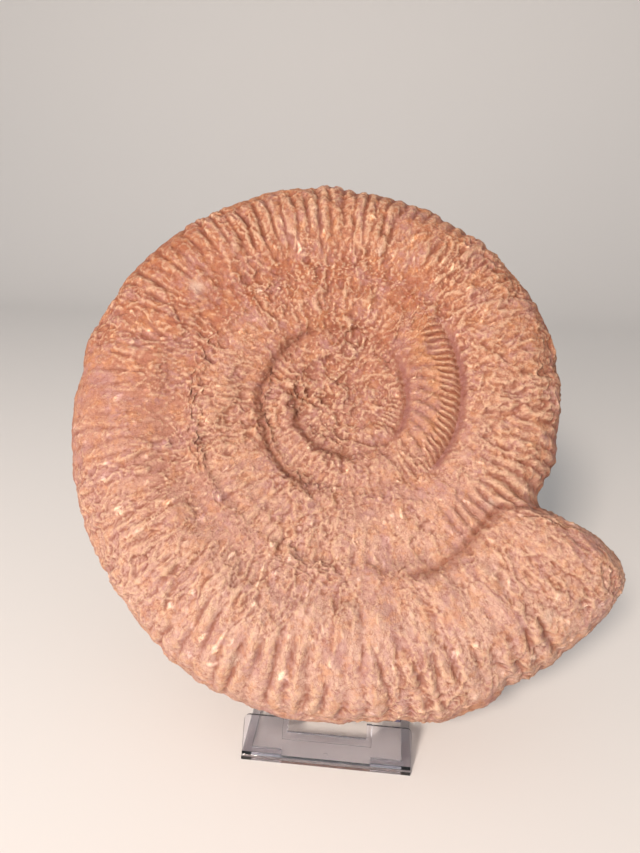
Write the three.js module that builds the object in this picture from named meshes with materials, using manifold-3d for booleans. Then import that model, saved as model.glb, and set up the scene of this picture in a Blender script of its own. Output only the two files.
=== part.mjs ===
// A fossil ammonite leaning in a clear moulded display stand.
//
// Units are millimetres, +Z is up, and the viewer stands on the -Y side.
// The origin is the middle of the stand's footprint, on the surface that it stands on.
//
// The fossil is one stone. Its shell grew by adding to its mouth, so one growth law gives
// every whorl: the rim's radius shrinks by the same share for each radian back from the mouth.
// Each whorl is lofted through cross sections and the lofts are joined into one solid.

import * as THREE from 'three';
import { LoftGeometry } from 'three/addons/geometries/LoftGeometry.js';
import { mergeVertices } from 'three/addons/utils/BufferGeometryUtils.js';
import Module from 'manifold-3d';

const TURN = 2 * Math.PI;
const radians = THREE.MathUtils.degToRad;

// ---------- Driving dimensions: the fossil's coil ----------
const RIM_START = 225; // rim radius that the growth law gives at the mouth
const GROWTH = 0.0938; // share by which the coil shrinks per radian back from the mouth
const LATE_CURL = 0.126; // the last part of the shell curls in by this share
const LATE_CURL_SPAN = radians(50); // and this far back the curl has mostly eased off
const OVALITY = 0.026; // burial pressed the coil slightly oval
const OVAL_AXIS = radians(-8);
const WHORL_OVERLAP = 0.82; // a whorl's inner edge, as a share of the rim it grows over
const FULLNESS = 2.3; // section exponent: 2 is an ellipse, more is squarer
const LUMP_HEIGHT = 0.6; // soft lumps in the surface of the outer whorl

// ---------- Driving dimensions: the fossil's thickness ----------
const HALF_THICKNESS = 0.19; // half thickness of a whorl, as a share of its rim radius
const FRONT_DISH = 0.75; // how far the front sinks to the centre: 1 is full, 0 is flat
const BACK_DISH = 0.3; // the back is pressed flatter than the front

// ---------- Driving dimensions: ribs ----------
const RIBS_PER_TURN = 112; // ribs crossing the rim; every second one reaches the inner seam
const RIB_HEIGHT = 0.0062; // crest above mid level, as a share of rim radius
const RIB_SWEEP = radians(2.6); // ribs lean forward towards the rim
const SMOOTH = 4; // marks a row of points that is neither a crest nor a valley

// ---------- Driving dimensions: mouth, worn places and centre ----------
const MOUTH_ANGLE = radians(-33.4); // direction of the mouth from the coil's centre
const MOUTH_DOME = radians(8.5); // the stone filling bulges out this far past the last rib
const MOUTH_DOME_STEPS = 6;
const MOUTH_DOME_TIP = 0.08; // the dome ends in a facet of this share of the mouth's section
const MOUTH_DOME_MIDDLE = 0.35; // the facet's height in the section: 0 is the inner edge
const CHIP_ANGLE = radians(27); // the rim broke off in a step, this far back from the mouth
const CHIP_LENGTH = radians(24); // what is missing tapers off towards the mouth
const CHIP_DEPTH = 3;
const FLAKE_LENGTH = radians(15); // behind the step a flake of crust still stands up
const FLAKE_HEIGHT = 5;
const CENTRE_RADIUS = 17; // the first whorls are worn to one small boss
const CENTRE_HALF_THICKNESS = 11;
const COIL_TURNS = 4; // whorls that still show
const WORN_ROWS = 16; // sections in one turn of the smallest whorl

// ---------- Driving dimensions: how the fossil rests ----------
const LEAN = radians(30); // it leans back against the stand
const COIL_CENTRE = new THREE.Vector3(-1, 34, 190.1);

// ---------- Driving dimensions: the stand ----------
const STAND_WIDTH = 100;
const STAND_DEPTH = 150;
const BASE_THICKNESS = 2.5;
const WINDOW_MARGIN = 5; // base rim left and right of the window
const WINDOW_FRONT = 8.5; // from the stand's front edge to the window
const WINDOW_BACK = 40;
const BAY_WIDTH = 53; // the window's middle reaches forward to the lip
const BAY_CLEARANCE = 1.5; // and stops this far behind the lip's foot
const LIP_HEIGHT = 25.5; // along its slope
const LIP_LEAN = radians(28);
const LIP_THICKNESS = 2.5;
const LIP_CORNER = 3;
const NOTCH_WIDTH = 47;
const NOTCH_DEPTH = 8.2;
const BEAD_SIDE = 3; // thickened border round the notch
const BEAD_BELOW = 4.4;
const BEAD_THICKNESS = 3.6;
const REST_FOOT = 40.4; // from the stand's front edge to the back rest's face, on the surface
const REST_LENGTH = 150;
const REST_WIDTH = 90;
const REST_THICKNESS = 3;
const REST_CORNER = 10;
const GUSSET_THICKNESS = 3;
const GUSSET_END = 144; // from the stand's front edge
const GATE_RADIUS = 1.5; // stub left where the plastic entered the mould
const GATE_HEIGHT = 6.6;
const GATE_PROUD = 0.5;

// ---------- Solids ----------
const wasm = await Module();
wasm.setup();

function toSolid(geometry) {
  const bare = new THREE.BufferGeometry().copy(geometry);
  bare.deleteAttribute('normal');
  bare.deleteAttribute('uv');
  const merged = mergeVertices(bare, 1e-4);
  const index = merged.index.array;
  const triangles = [];
  for (let i = 0; i < index.length; i += 3) {
    const [a, b, c] = [index[i], index[i + 1], index[i + 2]];
    if (a !== b && b !== c && c !== a) triangles.push(a, b, c);
  }
  const mesh = new wasm.Mesh({
    numProp: 3,
    vertProperties: new Float32Array(merged.attributes.position.array),
    triVerts: new Uint32Array(triangles),
  });
  return new wasm.Manifold(mesh);
}

function toGeometry(solid) {
  const mesh = solid.getMesh();
  const geometry = new THREE.BufferGeometry();
  geometry.setAttribute('position', new THREE.BufferAttribute(mesh.vertProperties, mesh.numProp));
  geometry.setIndex(new THREE.BufferAttribute(mesh.triVerts, 1));
  geometry.computeVertexNormals();
  return geometry;
}

function join(geometries) {
  return geometries.map(toSolid).reduce((whole, piece) => whole.add(piece));
}

// ---------- The growth law ----------
// t counts radians back from the mouth, so it runs from 0 to COIL_TURNS * TURN.
function rimRadius(t) {
  const back = Math.max(t, 0);
  const curl = LATE_CURL * Math.exp(-((back / LATE_CURL_SPAN) ** 2));
  return RIM_START * Math.exp(-GROWTH * back) * (1 - curl);
}

function halfThickness(t, dish) {
  return HALF_THICKNESS * rimRadius(t) ** dish * rimRadius(0) ** (1 - dish);
}

// The ribs are worn unevenly: they stand out most at the bottom and least on the right.
function ribStrength(direction) {
  const bottom = 0.5 - 0.5 * Math.sin(direction);
  const right = 0.5 + 0.5 * Math.cos(direction);
  return 0.75 + 0.5 * bottom - 0.35 * right ** 3;
}

// Lumps a few centimetres across, left where crust and sediment cling to the shell.
function lump(t, around) {
  const broad = Math.sin(9.3 * t + 2 * around);
  const small = Math.sin(17.7 * t - 3 * around + 1.3);
  return LUMP_HEIGHT * (broad + 0.75 * small);
}

// Rib height at one point. A row of points is a crest or a valley by its phase:
// 0 is a full rib, 2 is a rib that fades out halfway down the side, 1 and 3 are valleys.
// The smallest whorl is worn smooth.
function ribRelief(phase, around) {
  const off = Math.abs(around) / Math.PI; // 0 on the rim, 1 on the inner edge
  const outer = 1 - THREE.MathUtils.smoothstep(off, 0.36, 0.6);
  const inner = 1 - THREE.MathUtils.smoothstep(off, 0.6, 0.85);
  if (phase === SMOOTH) return 0;
  if (phase === 0) return inner;
  if (phase === 2) return outer - 0.5 * (inner - outer);
  return -inner;
}

// The broken rim: how much is missing on the mouth's side of the step. Behind the step a
// flake of crust stands up instead, which counts as less than nothing missing.
function chip(t, around) {
  const across = 1 - THREE.MathUtils.smoothstep(Math.abs(around), 0.5, 1.4);
  const along = t - CHIP_ANGLE;
  if (along < 0) return CHIP_DEPTH * across * Math.max(1 + along / CHIP_LENGTH, 0);
  return -FLAKE_HEIGHT * across * Math.max(1 - along / FLAKE_LENGTH, 0);
}

// ---------- Whorl sections ----------
// Where a section has its corners: 0 is on the rim, the front is positive, the back negative.
const OUTER_CORNERS = [0, 34, 68, 101, 134, 170, -150, -60].map(radians);
const INNER_CORNERS = [0, 44, 90, 136, -136, -60].map(radians);

// One point of a section. around is 0 on the rim, positive on the front, 180 degrees inside.
// shrink draws the section in towards a point near its inner edge, for the mouth's dome.
function shellPoint(t, around, phase, shrink) {
  const rim = rimRadius(t);
  const inside = WHORL_OVERLAP * rimRadius(t + TURN);
  const middle = (rim + inside) / 2;
  const reach = (rim - inside) / 2;
  const power = 2 / FULLNESS;
  const out = Math.sign(Math.cos(around)) * Math.abs(Math.cos(around)) ** power;
  const side = Math.sign(Math.sin(around)) * Math.abs(Math.sin(around)) ** power;
  const dish = side > 0 ? FRONT_DISH : BACK_DISH;

  const sweep = RIB_SWEEP * (0.5 + 0.5 * out) ** 2 * shrink;
  const direction = MOUTH_ANGLE - Math.max(t, -MOUTH_DOME) + sweep;
  const size = rim / rimRadius(0);
  const relief = shrink * RIB_HEIGHT * rim * ribStrength(direction) * ribRelief(phase, around)
    + shrink * size * lump(t, around) - chip(t, around);

  const dome = inside + MOUTH_DOME_MIDDLE * (rim - inside);
  let radius = middle + out * (reach + relief);
  radius = dome + (radius - dome) * shrink;
  radius *= 1 + OVALITY * Math.cos(2 * (direction - OVAL_AXIS));
  const depth = -side * (halfThickness(t, dish) + relief) * shrink;
  return new THREE.Vector3(radius * Math.cos(direction), depth, radius * Math.sin(direction));
}

function section(corners, t, phase, shrink = 1) {
  return corners.map((around) => shellPoint(t, around, phase, shrink));
}

// ---------- The fossil ----------
// rows counts crests and valleys in one turn; fromTurn and toTurn count turns from the mouth.
function whorl(corners, fromTurn, toTurn, rows, ribbed = true) {
  const first = Math.round(fromTurn * rows) - 1; // overlaps the part before by one row
  const last = Math.round(toTurn * rows);
  const sections = [];
  for (let row = first; row <= last; row += 1) {
    sections.push(section(corners, (row / rows) * TURN, ribbed ? row % 4 : SMOOTH));
  }
  return sections;
}

function mouthDome() {
  const sections = [];
  for (let step = MOUTH_DOME_STEPS; step >= 1; step -= 1) {
    const share = step / MOUTH_DOME_STEPS;
    const shrink = Math.max(Math.sqrt(1 - share ** 2), MOUTH_DOME_TIP);
    sections.push(section(OUTER_CORNERS, -MOUTH_DOME * share, 1, shrink));
  }
  return sections;
}

function loft(sections) {
  return new LoftGeometry(sections, { capStart: true, capEnd: true });
}

function centreBoss() {
  const boss = new THREE.SphereGeometry(1, 16, 8);
  boss.rotateX(Math.PI / 2);
  boss.scale(CENTRE_RADIUS, CENTRE_HALF_THICKNESS, CENTRE_RADIUS);
  return boss;
}

function makeAmmonite() {
  const fine = 2 * RIBS_PER_TURN;
  const lofts = [
    loft([...mouthDome(), ...whorl(OUTER_CORNERS, 0, 0.5, fine).slice(1)]),
    loft(whorl(OUTER_CORNERS, 0.5, 1, fine)),
    loft(whorl(OUTER_CORNERS, 1, 1.5, fine / 2)),
    loft(whorl(OUTER_CORNERS, 1.5, 2, fine / 2)),
    loft(whorl(INNER_CORNERS, 2, 2.5, fine / 4)),
    loft(whorl(INNER_CORNERS, 2.5, 3, fine / 4)),
    loft(whorl(INNER_CORNERS, 3, 3.5, WORN_ROWS, false)),
    loft(whorl(INNER_CORNERS, 3.5, COIL_TURNS, WORN_ROWS, false)),
    centreBoss(),
  ];
  const mesh = new THREE.Mesh(
    toGeometry(join(lofts)),
    new THREE.MeshStandardMaterial({ color: 0xc98a66, roughness: 0.85, metalness: 0 }),
  );
  mesh.name = 'ammonite';
  mesh.rotation.x = -LEAN;
  mesh.position.copy(COIL_CENTRE);
  return mesh;
}

// ---------- The stand ----------
const FRONT = -STAND_DEPTH / 2;

function plate(shape, thickness) {
  return new THREE.ExtrudeGeometry(shape, { depth: thickness, bevelEnabled: false, curveSegments: 4 });
}

function outline(points) {
  return new THREE.Shape(points.map(([x, y]) => new THREE.Vector2(x, y)));
}

function rectangle(width, low, high) {
  const half = width / 2;
  return outline([[-half, low], [half, low], [half, high], [-half, high]]);
}

// A panel drawn lying down: x across, y up its slope, with its two upper corners rounded.
function panelShape(width, height, corner) {
  const half = width / 2;
  const shape = new THREE.Shape();
  shape.moveTo(-half, 0);
  shape.lineTo(half, 0);
  shape.absarc(half - corner, height - corner, corner, 0, Math.PI / 2);
  shape.absarc(-half + corner, height - corner, corner, Math.PI / 2, Math.PI);
  shape.closePath();
  return shape;
}

// Stands a lying piece up, leaning back, with its front face through y on the surface.
// Its thickness goes backwards from that face, apart from what is proud of it.
function raise(shape, thickness, lean, y, proud = 0) {
  const piece = plate(shape, thickness);
  piece.translate(0, 0, proud - thickness);
  piece.rotateX(Math.PI / 2 - lean);
  piece.translate(0, y, 0);
  return toSolid(piece);
}

function basePlate() {
  const half = STAND_WIDTH / 2 - WINDOW_MARGIN;
  const bay = BAY_WIDTH / 2;
  const front = FRONT + WINDOW_FRONT;
  const back = FRONT + WINDOW_BACK;
  const lipBack = FRONT + LIP_THICKNESS + BAY_CLEARANCE;
  const shape = rectangle(STAND_WIDTH, FRONT, -FRONT);
  shape.holes.push(outline([
    [-half, back], [half, back], [half, front], [bay, front],
    [bay, lipBack], [-bay, lipBack], [-bay, front], [-half, front],
  ]));
  return toSolid(plate(shape, BASE_THICKNESS));
}

function frontLip() {
  const notchLow = LIP_HEIGHT - NOTCH_DEPTH;
  const bead = rectangle(NOTCH_WIDTH + 2 * BEAD_SIDE, notchLow - BEAD_BELOW, LIP_HEIGHT);
  const notch = rectangle(NOTCH_WIDTH, notchLow, LIP_HEIGHT + 5);
  const gate = new THREE.Shape().absarc(0, GATE_HEIGHT, GATE_RADIUS, 0, TURN);
  return raise(panelShape(STAND_WIDTH, LIP_HEIGHT, LIP_CORNER), LIP_THICKNESS, LIP_LEAN, FRONT)
    .add(raise(bead, BEAD_THICKNESS, LIP_LEAN, FRONT))
    .subtract(raise(notch, 4 * BEAD_THICKNESS, LIP_LEAN, FRONT, BEAD_THICKNESS))
    .add(raise(gate, LIP_THICKNESS, LIP_LEAN, FRONT, GATE_PROUD));
}

function backRest() {
  const shape = panelShape(REST_WIDTH, REST_LENGTH, REST_CORNER);
  return raise(shape, REST_THICKNESS, LEAN, FRONT + REST_FOOT);
}

// A three-cornered web that ties the back rest to the base plate, left and right.
function gusset(x) {
  const foot = FRONT + REST_FOOT + REST_THICKNESS;
  const rise = REST_LENGTH - 2 * REST_CORNER;
  const top = [foot + rise * Math.sin(LEAN), rise * Math.cos(LEAN)];
  const web = plate(outline([[foot, 0], [FRONT + GUSSET_END, 0], top]), GUSSET_THICKNESS);
  web.rotateX(Math.PI / 2);
  web.rotateZ(Math.PI / 2);
  web.translate(x, 0, 0);
  return toSolid(web);
}

function makeStand() {
  const below = plate(rectangle(2 * STAND_WIDTH, 2 * FRONT, -2 * FRONT), 20);
  below.translate(0, 0, -20);
  const edge = REST_WIDTH / 2;
  const solid = basePlate()
    .add(frontLip())
    .add(backRest())
    .add(gusset(-edge))
    .add(gusset(edge - GUSSET_THICKNESS))
    .subtract(toSolid(below));
  const mesh = new THREE.Mesh(
    toGeometry(solid),
    new THREE.MeshStandardMaterial({ color: 0xd9d6de, roughness: 0.12, metalness: 0 }),
  );
  mesh.name = 'display_stand';
  return mesh;
}

// ---------- The whole object ----------
const group = new THREE.Group();
group.add(makeAmmonite(), makeStand());

export default group;
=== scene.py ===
# %% [markdown]
# # A fossil ammonite in a clear display stand
#
# The real object is two pieces. The fossil is one heavy stone: an ammonite shell that filled
# with lime mud, turned to stone and was cleaned by hand, so ribs show in some places and a
# rough crust still covers them in others. It leans back on a small stand of clear moulded
# plastic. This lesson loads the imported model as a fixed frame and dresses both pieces.

# %% Load the frame
import math

import bmesh
import bpy
import numpy as np
from mathutils import Matrix, Vector, noise


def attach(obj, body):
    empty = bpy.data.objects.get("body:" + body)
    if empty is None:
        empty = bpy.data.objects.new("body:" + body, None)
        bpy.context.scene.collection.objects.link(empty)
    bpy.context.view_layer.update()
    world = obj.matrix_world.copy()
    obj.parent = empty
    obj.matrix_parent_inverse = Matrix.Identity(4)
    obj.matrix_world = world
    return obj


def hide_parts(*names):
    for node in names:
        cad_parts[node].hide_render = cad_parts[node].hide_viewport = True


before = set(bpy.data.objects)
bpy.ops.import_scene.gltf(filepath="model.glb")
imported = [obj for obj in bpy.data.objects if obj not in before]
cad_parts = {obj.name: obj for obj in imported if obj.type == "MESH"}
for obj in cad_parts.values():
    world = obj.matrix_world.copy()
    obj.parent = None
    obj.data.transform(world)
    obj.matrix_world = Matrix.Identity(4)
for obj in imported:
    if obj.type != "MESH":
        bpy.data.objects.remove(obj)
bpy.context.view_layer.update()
MM = 0.001
TURN = 2 * math.pi
NOISE_SEED = 4
noise.seed_set(NOISE_SEED)  # without a seed, noise vectors start from the clock
print("frame nodes:", sorted(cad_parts), "noise seed:", NOISE_SEED)

# %% [markdown]
# ## The camera
#
# A viewer sits in front of the table and looks down a little on the fossil. The camera stands
# where that viewer's eye would be, in the same metres as the model. A camera looks along its
# own -Z, so it is first tipped up from looking at the floor, then turned to the left, and the
# small roll of a hand-held shot comes first of all.

# %% Place the camera
EYE = Vector((22.1, -362.4, 315.5)) * MM
LOOK_DOWN = math.radians(19.6)
TURN_LEFT = math.radians(5.63)
ROLL = math.radians(1.0)
SENSOR = 36.0
# where the frame's taller side is 853 long, the focal length is 641
FOCAL_LENGTH = SENSOR * 641 / 853

camera_data = bpy.data.cameras.new("camera")
camera_data.sensor_width = SENSOR
camera_data.lens = FOCAL_LENGTH
camera_data.clip_start = 0.01
camera = bpy.data.objects.new("camera", camera_data)
heading = Matrix.Rotation(TURN_LEFT, 4, "Z")
tip = Matrix.Rotation(math.pi / 2 - LOOK_DOWN, 4, "X")
camera.matrix_world = Matrix.Translation(EYE) @ heading @ tip @ Matrix.Rotation(ROLL, 4, "Z")
bpy.context.scene.collection.objects.link(camera)
bpy.context.scene.camera = camera
print("camera is", round(EYE.z / MM), "mm above the table")

# %% [markdown]
# ## The growth law
#
# An ammonite grows by adding a thin strip of shell to its mouth, each a little bigger than
# the last. So one rule gives the whole coil: `t` counts radians back from the mouth, and the
# rim's radius shrinks by the same share for each of them. Three small facts are added: the
# last part of this shell curls in, burial pressed it a little oval, and a piece of the rim
# broke off near the mouth. Its values are the fixed model's own, so the skin lands on it.

# %% The coil's driving dimensions
RIM_START = 225 * MM
GROWTH = 0.0938
LATE_CURL = 0.126
LATE_CURL_SPAN = math.radians(50)
OVALITY = 0.026
OVAL_AXIS = math.radians(-8)
OVERLAP = 0.82
FULLNESS = 2.3
HALF_THICKNESS = 0.19
FRONT_DISH = 0.75
BACK_DISH = 0.3
MOUTH_ANGLE = math.radians(-33.4)
MOUTH_DOME = math.radians(8.5)
LEAN = math.radians(30)
COIL_CENTRE = Vector((-1, 34, 190.1)) * MM
TURNS = 4


def rim_radius(t):
    back = np.maximum(t, 0)
    curl = LATE_CURL * np.exp(-((back / LATE_CURL_SPAN) ** 2))
    return RIM_START * np.exp(-GROWTH * back) * (1 - curl)


def oval(direction):
    return 1 + OVALITY * np.cos(2 * (direction - OVAL_AXIS))


def smoothstep(value, low, high):
    share = np.clip((value - low) / (high - low), 0, 1)
    return share * share * (3 - 2 * share)


for turn in range(TURNS):
    print("rim radius after turn", turn, "is", round(float(rim_radius(turn * TURN)) / MM), "mm")

# %% [markdown]
# ## One cross section
#
# Cut across, a whorl is a rounded box, fuller than an ellipse. The front sinks towards the
# coil's centre in a dish, and the back, which was pressed flatter, sinks much less. A whorl's
# inner edge sits deep inside the whorl it grows over, so the two are one solid. A section is
# worked out in the coil's own plane first, with the shell facing -Y and its centre at the
# origin. It is leaned back and put in its place at the very end.

# %% A point of a section
CHIP_ANGLE = math.radians(27)
CHIP_LENGTH = math.radians(24)
CHIP_DEPTH = 3 * MM
FLAKE_LENGTH = math.radians(15)
FLAKE_HEIGHT = 5 * MM
MOUTH_LAP = 0.1
MOUTH_LAP_SPAN = math.radians(28)
DOME_CENTRE = 0.35


def broken_rim(t, around):
    """How much of the rim is missing: more and more from the mouth back to the break. Past
    the break it is below zero, as a flake stands proud there."""
    across = 1 - float(smoothstep(abs(around), 0.5, 1.4))
    along = t - CHIP_ANGLE
    if along < 0:
        return CHIP_DEPTH * across * max(1 + along / CHIP_LENGTH, 0)
    return -FLAKE_HEIGHT * across * max(1 - along / FLAKE_LENGTH, 0)


def near_mouth(t):
    """1 at the mouth, fading over the last sixth of a turn, where the whorl laps further in."""
    return np.exp(-((np.maximum(t, 0) / MOUTH_LAP_SPAN) ** 2))


def section_point(t, around, shrink=1.0):
    rim = float(rim_radius(t))
    inside = (OVERLAP - MOUTH_LAP * near_mouth(t)) * float(rim_radius(t + TURN))
    power = 2 / FULLNESS
    out = math.copysign(abs(math.cos(around)) ** power, math.cos(around))
    side = math.copysign(abs(math.sin(around)) ** power, math.sin(around))
    dish = FRONT_DISH if side > 0 else BACK_DISH
    half = HALF_THICKNESS * rim ** dish * float(rim_radius(0)) ** (1 - dish)
    direction = MOUTH_ANGLE - max(t, -MOUTH_DOME)
    dome = inside + DOME_CENTRE * (rim - inside)
    radius = (rim + inside) / 2 + out * ((rim - inside) / 2 - broken_rim(t, around))
    radius = (dome + (radius - dome) * shrink) * float(oval(direction))
    return Vector((radius * math.cos(direction), -side * half * shrink, radius * math.sin(direction)))


print("section at the mouth is", round(-section_point(0, math.pi / 2).y / MM, 1), "mm deep in front")

# %% [markdown]
# ## Growing the tube
#
# The tube grows in Blender as the shell did: a ring of points is extruded, and the new ring
# is moved to its place a little further along the coil. The ring starts as a circle. At the
# mouth the stone filling bulges out, so the first rings open up from almost nothing.

# %% Extrude the tube ring by ring
RING_POINTS = 28
RINGS_PER_TURN = 90
DOME_RINGS = 7
DOME_POWER = 2.6
DOME_TIP = 0.08


def place_ring(ring, t, shrink=1.0):
    for number, vert in enumerate(ring):
        vert.co = section_point(t, TURN * number / len(ring), shrink)


def next_ring(bm, ring):
    edges = [bm.edges.get((ring[i - 1], ring[i])) for i in range(len(ring))]
    made = bmesh.ops.extrude_edge_only(bm, edges=edges)["geom"]
    fresh = {item for item in made if isinstance(item, bmesh.types.BMVert)}
    return [next(e.other_vert(v) for e in v.link_edges if e.other_vert(v) in fresh) for v in ring]


def grow_tube():
    bm = bmesh.new()
    ring = bmesh.ops.create_circle(bm, segments=RING_POINTS, radius=1.0)["verts"]
    steps = []
    for step in range(DOME_RINGS, 0, -1):
        share = step / DOME_RINGS
        steps.append((-MOUTH_DOME * share, max((1 - share ** DOME_POWER) ** (1 / DOME_POWER), DOME_TIP)))
    steps += [(TURN * row / RINGS_PER_TURN, 1.0) for row in range(TURNS * RINGS_PER_TURN + 1)]
    for number, (t, shrink) in enumerate(steps):
        if number:
            ring = next_ring(bm, ring)
        place_ring(ring, t, shrink)
    bmesh.ops.holes_fill(bm, edges=[e for e in bm.edges if e.is_boundary])
    bmesh.ops.recalc_face_normals(bm, faces=bm.faces)
    return bm


coil = grow_tube()
print("tube:", len(coil.faces), "faces,", sum(e.is_boundary for e in coil.edges), "open edges")

# %% [markdown]
# ## The first whorls
#
# The smallest whorls in the middle are worn down to one rough boss. A flattened sphere pushed
# into the open middle of the coil is all that is left of them.

# %% Add the worn centre
BOSS_RADIUS = 17 * MM
BOSS_HALF_THICKNESS = 11 * MM

boss = bmesh.ops.create_uvsphere(coil, u_segments=24, v_segments=12, radius=1.0)["verts"]
bmesh.ops.scale(coil, vec=(BOSS_RADIUS, BOSS_HALF_THICKNESS, BOSS_RADIUS), verts=boss)
print("boss added, tube and boss have", len(coil.verts), "points")

# %% [markdown]
# ## One skin over the whole coil
#
# The tube runs through itself wherever one whorl sits on the last, and that inside has to go.
# A boolean could join the turns one by one. A voxel remesh is simpler for a stone: it wraps
# everything in one closed skin of even squares.

# %% Wrap the coil in one skin
VOXEL = 2.2 * MM


def object_from(bm, name):
    mesh = bpy.data.meshes.new(name)
    bm.to_mesh(mesh)
    bm.free()
    made = bpy.data.objects.new(name, mesh)
    bpy.context.scene.collection.objects.link(made)
    return made


def apply_modifiers(target):
    graph = bpy.context.evaluated_depsgraph_get()
    finished = bpy.data.meshes.new_from_object(target.evaluated_get(graph))
    target.modifiers.clear()
    target.data = finished


ammonite = object_from(coil, "ammonite_stone")
wrap = ammonite.modifiers.new("wrap", "REMESH")
wrap.mode = "VOXEL"
wrap.voxel_size = VOXEL
apply_modifiers(ammonite)
print("skin:", len(ammonite.data.vertices), "points")

# %% [markdown]
# ## Where a point is on the shell
#
# Ribs and seams follow the coil, so every point of the skin needs its own shell address:
# which whorl it is on, how far back from the mouth, and how far out from the inner seam (0)
# to the rim (1). The growth law answers that when it is asked backwards.

# %% Ask the growth law for a point's address
SEAM = 0.985
SEAM_END = 1.03
SEAM_RUN_OUT = math.radians(9)


def seam_share(t):
    """Radius of a seam as a share of the rim it sits on; past the mouth it runs out to that rim."""
    beyond = np.clip(-t / SEAM_RUN_OUT, 0, 1)
    return (SEAM - MOUTH_LAP * near_mouth(t)) * (1 - beyond) + SEAM_END * beyond


def shell_address(places):
    """Direction, radians back from the mouth, whorl number (0 is the outer one), 0 to 1 from
    seam to rim, the width of the whorl there, and the radius."""
    direction = np.arctan2(places[:, 2], places[:, 0])
    radius = np.hypot(places[:, 0], places[:, 2]) / oval(direction)
    first = np.mod(MOUTH_ANGLE - direction, TURN)
    past_mouth = (first > TURN - 0.5) & (radius > seam_share(first - TURN) * rim_radius(first))
    first = np.where(past_mouth, first - TURN, first)
    whorl = np.zeros(len(places), int)
    for number in range(1, TURNS + 1):
        whorl += radius < seam_share(first + (number - 1) * TURN) * rim_radius(first + number * TURN)
    t = first + whorl * TURN
    rim = rim_radius(t)
    seam = seam_share(t) * rim_radius(t + TURN)
    return direction, t, whorl, (radius - seam) / (rim - seam), rim - seam, radius


def towards(direction, degrees, width):
    """1 in one direction from the coil's centre, fading to 0 this many degrees away."""
    turned = np.abs(np.mod(direction - math.radians(degrees) + math.pi, TURN) - math.pi)
    return 1 - smoothstep(turned, 0.35 * math.radians(width), math.radians(width))


centres = np.array([face.center for face in ammonite.data.polygons])
print("faces on each whorl:", np.bincount(shell_address(centres)[2]).tolist())

# %% [markdown]
# ## A real shell is not perfect
#
# The growth law gives a coil that is too even. Here the skin is nudged a few millimetres in
# or out along its rim and seams, and the worn middle is smoothed down, all while the mesh is
# still light. Later steps ask for a point's address on the even coil, so the nudge can also be
# undone: a guess is corrected a few times until nudging it gives the real place.

# %% Nudge the rim and wear the middle down
RIM_LOSS = -0.2 * MM
WORN_RADIUS = 34 * MM
WORN_ROUNDS = 25
UNDO_ROUNDS = 6
# degrees back from the mouth, spread in degrees, shift in mm, reach in mm
NUDGES = [
    (18, 17, 6.5, 25), (5, 12, 3.5, 25), (37, 10, 5.0, 25), (77, 15, 3.0, 20), (84, 12, 2.5, 20),
    (62, 16, 3.0, 14), (157, 8, 3.0, 20), (137, 60, -2.5, 45), (252, 30, -3.3, 30),
    (307, 45, -1.5, 30), (381, 20, 4.5, 18), (353, 9, 3.2, 14), (342, 14, 3.5, 20),
    (325, 60, 1.6, 25), (253, 12, 2.8, 20), (680, 70, -3.5, 12), (497, 85, -4.0, 12),
    (1037, 65, -4.0, 9), (857, 80, -4.0, 8),
]


def nudge(places):
    direction = np.arctan2(places[:, 2], places[:, 0])
    radius = np.hypot(places[:, 0], places[:, 2])
    shift = RIM_LOSS * smoothstep(radius, 0.6 * RIM_START, 0.8 * RIM_START)
    for back, spread, amount, reach in NUDGES:
        turned = np.mod(MOUTH_ANGLE - direction - math.radians(back) + math.pi, TURN) - math.pi
        line = rim_radius(math.radians(back) + turned) * oval(direction)
        near = np.exp(-(((radius - line) / (reach * MM)) ** 2))
        shift += amount * MM * near * (1 - smoothstep(np.abs(turned), 0, math.radians(spread)))
    return places * (1 + shift / np.maximum(radius, 1 * MM))[:, None] ** np.array([1, 0, 1])


def before_nudge(places):
    guess = places
    for _ in range(UNDO_ROUNDS):
        guess = guess + places - nudge(guess)
    return guess


def smooth(bm, rounds, chosen=None):
    for _ in range(rounds):
        bmesh.ops.smooth_vert(bm, verts=chosen or bm.verts, factor=0.5,
                              use_axis_x=True, use_axis_y=True, use_axis_z=True)


def wear_down(mesh):
    bm = bmesh.new()
    bm.from_mesh(mesh)
    for vert, place in zip(bm.verts, nudge(np.array([v.co for v in bm.verts]))):
        vert.co = place
    worn = [v for v in bm.verts if v.co.y < 0 and math.hypot(v.co.x, v.co.z) < WORN_RADIUS]
    smooth(bm, WORN_ROUNDS, worn)
    smooth(bm, 2)
    bm.to_mesh(mesh)
    bm.free()
    return len(worn)


print("points in the worn middle:", wear_down(ammonite.data))

# %% [markdown]
# ## A finer mesh where it is needed
#
# The front carries the fine ribs and the crust, so its squares are split in four. The
# sharpest and closest ribs are on the right of the second whorl, and there they are split
# again.

# %% Split the front
FACING_FRONT = -0.3


def split(bm, chosen):
    edges = {edge for face, wanted in zip(bm.faces, chosen) if wanted for edge in face.edges}
    bmesh.ops.subdivide_edges(bm, edges=list(edges), cuts=1, use_grid_fill=True)
    smooth(bm, 1)


def face_data(bm):
    bm.normal_update()
    middles = np.array([face.calc_center_median() for face in bm.faces])
    return middles, np.array([face.normal.y for face in bm.faces])


def refine(mesh):
    bm = bmesh.new()
    bm.from_mesh(mesh)
    _, facing = face_data(bm)
    split(bm, facing < FACING_FRONT)
    middles, facing = face_data(bm)
    direction, _, whorl, out, _, _ = shell_address(before_nudge(middles))
    sharp = (whorl == 1) & (towards(direction, 5, 75) > 0.3) & (out > 0.15)
    split(bm, sharp & (facing < FACING_FRONT))
    bmesh.ops.recalc_face_normals(bm, faces=bm.faces)
    bm.to_mesh(mesh)
    bm.free()


refine(ammonite.data)
print("split skin:", len(ammonite.data.polygons), "faces")

# %% Read the skin's points


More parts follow.
